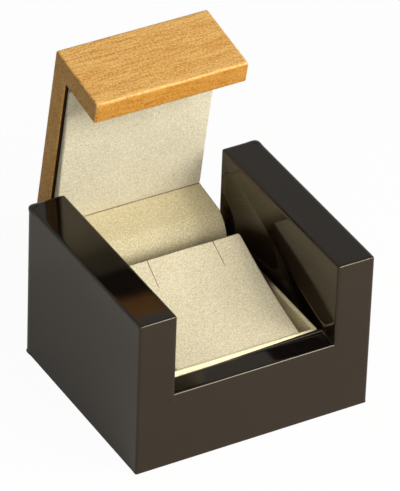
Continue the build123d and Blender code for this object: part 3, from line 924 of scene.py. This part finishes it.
# Hinges
# Two small butt hinges of folded brass sheet, tumbled bright, on brass countersunk screws. Tumbling gives
# them a soft gleam with fine scratches.
brass = new_material("tumbled_brass")
scratch_size = 0.5 * MM
scratch_depth = 0.02 * MM
brass_place = add_node(brass, "ShaderNodeTexCoord")
scratches = add_node(brass, "ShaderNodeTexNoise", (), {
    "Vector": brass_place.outputs["Object"], "Scale": 1 / scratch_size, "Detail": 4.0})
brass_tone = add_node(brass, "ShaderNodeValToRGB", (), {"Fac": scratches.outputs["Fac"]})
set_stops(brass_tone, ((0.3, linear("#b98d3e")), (0.7, linear("#dcb765"))))
brass_rough = add_node(brass, "ShaderNodeMapRange", (), {
    "Value": scratches.outputs["Fac"], "To Min": 0.18, "To Max": 0.4})
brass_relief = add_node(brass, "ShaderNodeBump", (), {
    "Height": scratches.outputs["Fac"], "Strength": 0.3, "Distance": scratch_depth})
brass_shader = add_node(brass, "ShaderNodeBsdfPrincipled", (), {
    "Base Color": brass_tone.outputs["Color"], "Metallic": 1.0, "Roughness": brass_rough.outputs[0],
    "Normal": brass_relief.outputs[0]})
finish_material(brass, brass_shader)
for side in ("left", "right"):
    for part in ("base_leaf", "lid_leaf", "pin"):
        give_finish(f"{side}_hinge_{part}", brass)
for name in ("hinge_base_screws", "hinge_lid_screws"):
    give_finish(name, brass)


# Felt under the box
# A die-cut sheet of black pressed felt is glued under the base, a little in from its edges. It is matt
# and fuzzy, with a slightly frayed edge.
felt = new_material("pressed_wool_felt_black")
fuzz_size = 0.6 * MM
fuzz_depth = 0.12 * MM
felt_place = add_node(felt, "ShaderNodeTexCoord")
fuzz = add_node(felt, "ShaderNodeTexNoise", (), {
    "Vector": felt_place.outputs["Object"], "Scale": 1 / fuzz_size, "Detail": 6.0, "Roughness": 0.7})
felt_tone = add_node(felt, "ShaderNodeValToRGB", (), {"Fac": fuzz.outputs["Fac"]})
set_stops(felt_tone, ((0.35, linear("#0f0f10")), (0.7, linear("#2b2a2c"))))
felt_relief = add_node(felt, "ShaderNodeBump", (), {
    "Height": fuzz.outputs["Fac"], "Strength": 0.9, "Distance": fuzz_depth})
felt_shader = add_node(felt, "ShaderNodeBsdfPrincipled", (), {
    "Base Color": felt_tone.outputs["Color"], "Roughness": 0.95, "Specular IOR Level": 0.2,
    "Sheen Weight": 0.4, "Sheen Roughness": 0.6, "Normal": felt_relief.outputs[0]})
finish_material(felt, felt_shader)
felt_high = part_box("base_felt")[1]
felt_half = (felt_high.x, felt_high.y)
felt_corner = 1.5 * MM
fray = 0.0015
fray_size = 3 * MM
# Each ring of the soft cut edge has how far it is drawn in, and its height.
felt_edge_mm = ((0.25, 0.0), (0.06, 0.06), (0, 0.2), (0, 0.38), (0.1, 0.48))


def frayed(point, layer):
    """The share of its distance from the middle that a point of the cut edge keeps."""
    return 1 - fray * (1 + noise.noise(Vector((point.x, point.y, layer)) / fray_size))


felt_rings = []
for inset, height in felt_edge_mm:
    plan = rounded_rectangle(
        felt_half[0] - inset * MM, felt_half[1] - inset * MM, felt_corner, corner_steps=6, side_steps=30)
    felt_rings.append([
        Vector((point.x * frayed(point, 0), point.y * frayed(point, 1), height * MM)) for point in plan])
felt_sheet = mesh_piece("felt_sheet", *loft(felt_rings), felt)
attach(felt_sheet, "base")
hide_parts("base_felt")


# Hidden pieces
# Grey board, beech dowels and stained fibreboard, none of which shows while the box is whole. Each is
# matt and flecked in two tones.
# A finish has its dark and light tones, the size of its flecks in millimetres, and its pieces.
hidden_finishes = {
    "pressed_grey_board": (
        "#8d8a84", "#a29f98", 0.4, ("tray_card", "pad_card", "lid_front_card", "lid_top_card")),
    "beech_dowel": ("#b98f5f", "#d0a877", 1.2, ("rail_dowels",)),
    "stained_fibreboard": ("#241a15", "#33261f", 0.5, ("bottom_board",)),
}
board_relief_depth = 0.03 * MM
for name, (dark, light, fleck_size, members) in hidden_finishes.items():
    board = new_material(name)
    board_place = add_node(board, "ShaderNodeTexCoord")
    flecks = add_node(board, "ShaderNodeTexNoise", (), {
        "Vector": board_place.outputs["Object"], "Scale": 1 / (fleck_size * MM), "Detail": 5.0})
    board_tone = add_node(board, "ShaderNodeValToRGB", (), {"Fac": flecks.outputs["Fac"]})
    set_stops(board_tone, ((0.3, linear(dark)), (0.7, linear(light))))
    board_relief = add_node(board, "ShaderNodeBump", (), {
        "Height": flecks.outputs["Fac"], "Strength": 0.4, "Distance": board_relief_depth})
    board_shader = add_node(board, "ShaderNodeBsdfPrincipled", (), {
        "Base Color": board_tone.outputs["Color"], "Roughness": 0.85, "Normal": board_relief.outputs[0]})
    finish_material(board, board_shader)
    for member in members:
        give_finish(member, board)


# Studio
# Colours are shown without a film look.
bpy.context.scene.view_settings.view_transform = "Standard"
